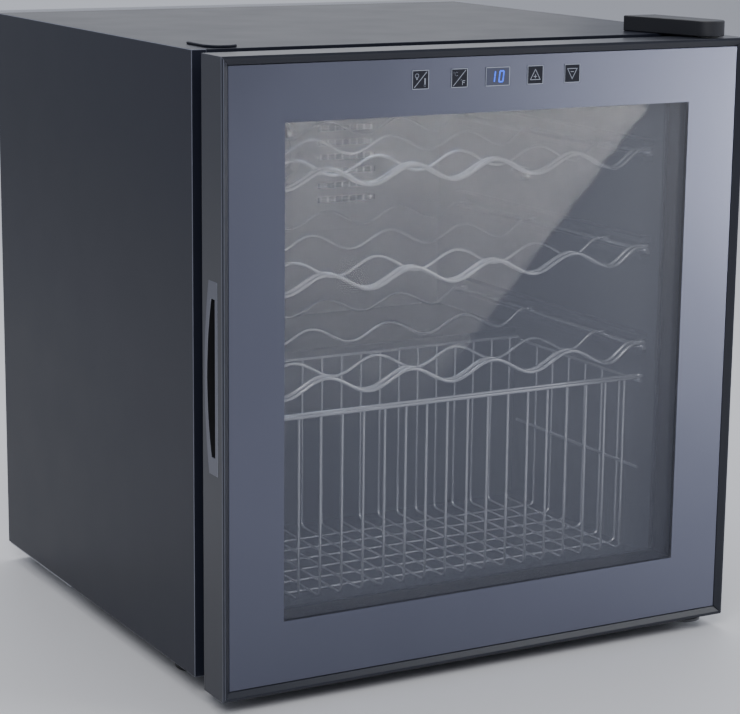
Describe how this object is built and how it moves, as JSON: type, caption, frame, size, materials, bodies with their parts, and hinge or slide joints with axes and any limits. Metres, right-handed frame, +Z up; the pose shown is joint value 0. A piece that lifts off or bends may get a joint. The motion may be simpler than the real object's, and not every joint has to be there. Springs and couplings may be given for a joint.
{
  "type": "wine cooler",
  "caption": "Free-standing compressor wine cooler: painted steel cabinet, framed glass door with touch controls, wave-wire shelves and a wire basket.",
  "frame": {"origin": "on the floor under the middle of the overall box", "axes": "+Z up, the door faces -Y, the hinge is on the +X side"},
  "size_m": [0.4602, 0.481, 0.5035],
  "materials": {
    "cabinet_paint": "satin",
    "plain_steel": "satin",
    "foam": "matte",
    "liner_plastic": "matte",
    "door_frame_paint": "satin",
    "outer_glass": "gloss",
    "clear_glass": "gloss",
    "spacer_aluminium": "satin",
    "seal_rubber": "matte",
    "grip_metal": "satin",
    "board": "satin",
    "key_print": "gloss",
    "black_plastic": "matte",
    "lens": "satin",
    "bush_plastic": "satin",
    "bracket_steel": "satin",
    "zinc_steel": "satin",
    "chrome_wire": "polished",
    "compressor_paint": "gloss",
    "copper": "satin",
    "foot_plastic": "matte"
  },
  "bodies": {
    "cabinet": {"back_panel": "plain_steel", "bottom_panel": "cabinet_paint", "cold_plate": "spacer_aluminium", "compressor": "compressor_paint", "compressor_bolts": "zinc_steel", "compressor_grommets": "seal_rubber", "compressor_tray": "plain_steel", "condenser_clips": "black_plastic", "condenser_coil": "compressor_paint", "condenser_wires": "compressor_paint", "cord_gland": "black_plastic", "duct_cover": "liner_plastic", "fan_frame": "black_plastic", "fan_guard": "black_plastic", "filter_drier": "copper", "foam_insulation": "foam", "foot_sockets": "zinc_steel", "hinge_brackets": "bracket_steel", "hinge_pins": "zinc_steel", "hinge_screws": "zinc_steel", "inner_liner": "liner_plastic", "lamp_board": "board", "lamp_lens": "lens", "machine_bulkhead": "plain_steel", "power_box": "black_plastic", "rear_feet": "black_plastic", "refrigerant_pipes": "copper", "relay_box": "black_plastic", "sensor_clip": "liner_plastic", "shelf_ribs": "liner_plastic", "side_panel_left": "cabinet_paint", "side_panel_right": "cabinet_paint", "spare_hinge_cap": "cabinet_paint", "temperature_sensor": "zinc_steel", "top_hinge_cover": "black_plastic", "top_panel": "cabinet_paint", "wall_spacers": "black_plastic"},
    "door": {"door_stile_left": "door_frame_paint", "door_stile_right": "door_frame_paint", "door_rail_top": "door_frame_paint", "door_rail_bottom": "door_frame_paint", "outer_glass": "outer_glass", "inner_glass": "clear_glass", "glass_spacer": "spacer_aluminium", "door_inner_trim": "door_frame_paint", "door_seal": "seal_rubber", "grip_pocket": "grip_metal", "touch_board": "board", "touch_fields": "key_print", "hinge_bushes": "bush_plastic"},
    "basket": {"basket_front": "chrome_wire", "basket_back": "chrome_wire", "basket_floor": "chrome_wire", "basket_sides": "chrome_wire"},
    "top_shelf": {"shelf_1": "chrome_wire"},
    "middle_shelf": {"shelf_2": "chrome_wire"},
    "lower_shelf": {"shelf_3": "chrome_wire"},
    "fan": {"fan_rotor": "black_plastic"},
    "left_foot": {"levelling_foot_left": "foot_plastic"},
    "right_foot": {"levelling_foot_right": "foot_plastic"}
  },
  "joints": [
    {"name": "door_hinge", "type": "hinge", "parent": "cabinet", "child": "door", "pos_m": [0.202, -0.2265, 0.251], "axis": [0, 0, 1], "range_deg": [0, 120]},
    {"name": "top_shelf_slide", "type": "slide", "parent": "cabinet", "child": "top_shelf", "axis": [0, -1, 0], "range_m": [0, 0.02]},
    {"name": "middle_shelf_slide", "type": "slide", "parent": "cabinet", "child": "middle_shelf", "axis": [0, -1, 0], "range_m": [0, 0.02]},
    {"name": "lower_shelf_slide", "type": "slide", "parent": "cabinet", "child": "lower_shelf", "axis": [0, -1, 0], "range_m": [0, 0.02]},
    {"name": "basket_slide", "type": "slide", "parent": "cabinet", "child": "basket", "axis": [0, -1, 0], "range_m": [0, 0.02]},
    {"name": "fan_spin", "type": "hinge", "parent": "cabinet", "child": "fan", "pos_m": [0, 0.15, 0.366], "axis": [0, 1, 0], "continuous": true},
    {"name": "left_foot_screw", "type": "slide", "parent": "cabinet", "child": "left_foot", "axis": [0, 0, -1], "range_m": [0, 0.008]},
    {"name": "right_foot_screw", "type": "slide", "parent": "cabinet", "child": "right_foot", "axis": [0, 0, -1], "range_m": [0, 0.008]}
  ]
}
